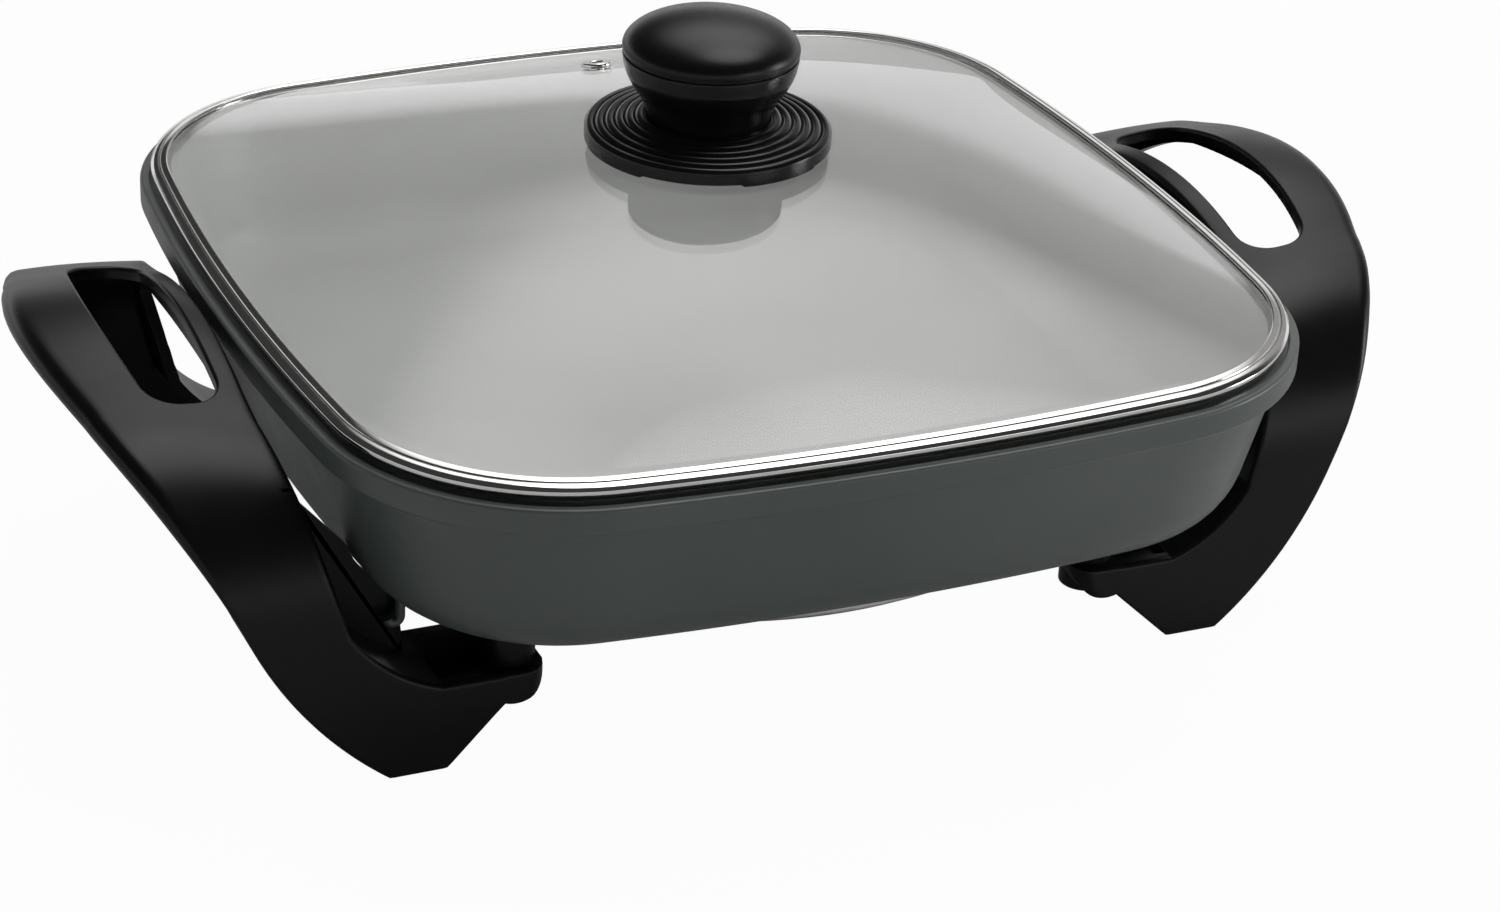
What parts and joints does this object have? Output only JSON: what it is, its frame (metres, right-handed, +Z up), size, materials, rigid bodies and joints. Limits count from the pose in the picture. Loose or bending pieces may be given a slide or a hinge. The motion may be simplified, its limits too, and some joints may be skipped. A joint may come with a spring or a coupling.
{
  "type": "electric skillet",
  "caption": "Square electric skillet with bowed sides, a lift-off domed glass lid with a knob, two loop handles that run down into feet, and heater terminals under one handle.",
  "frame": {"origin": "on the table, under the centre of the pan", "axes": "+X from the left handle to the right handle, +Y from the front to the back, +Z up"},
  "size_m": [0.4128, 0.3048, 0.1741],
  "materials": {
    "pan_coating": "satin dark coating on cast aluminium",
    "heater_steel": "satin, heat-toned",
    "ceramic": "matte, fired ceramic",
    "plated_steel": "zinc plated",
    "sheet_steel": "rolled sheet",
    "handle_plastic": "black, fine satin texture",
    "knob_plastic": "black, satin",
    "lid_glass": "clear, polished",
    "rim_steel": "polished steel",
    "insert_brass": "machined",
    "gasket_rubber": "moulded silicone"
  },
  "bodies": {
    "skillet": {"pan": "pan_coating", "heating_element": "heater_steel", "terminal_insulators": "ceramic", "terminal_pins": "plated_steel", "sensor_tube": "plated_steel", "terminal_guard": "sheet_steel", "guard_screws": "plated_steel", "right_handle": "handle_plastic", "left_handle": "handle_plastic", "handle_screws": "plated_steel", "handle_washers": "plated_steel"},
    "lid": {"lid_glass": "lid_glass", "lid_rim_band": "rim_steel", "vent_grommet": "rim_steel", "knob_base": "knob_plastic", "knob_stem": "knob_plastic", "knob_cap": "knob_plastic", "knob_insert": "insert_brass", "knob_screw": "plated_steel", "knob_washer": "plated_steel", "inner_gasket": "gasket_rubber", "outer_gasket": "gasket_rubber"}
  },
  "joints": [
    {"name": "lid_lift", "type": "slide", "parent": "skillet", "child": "lid", "axis": [0, 0, 1], "range_m": [0, 0.15]}
  ]
}
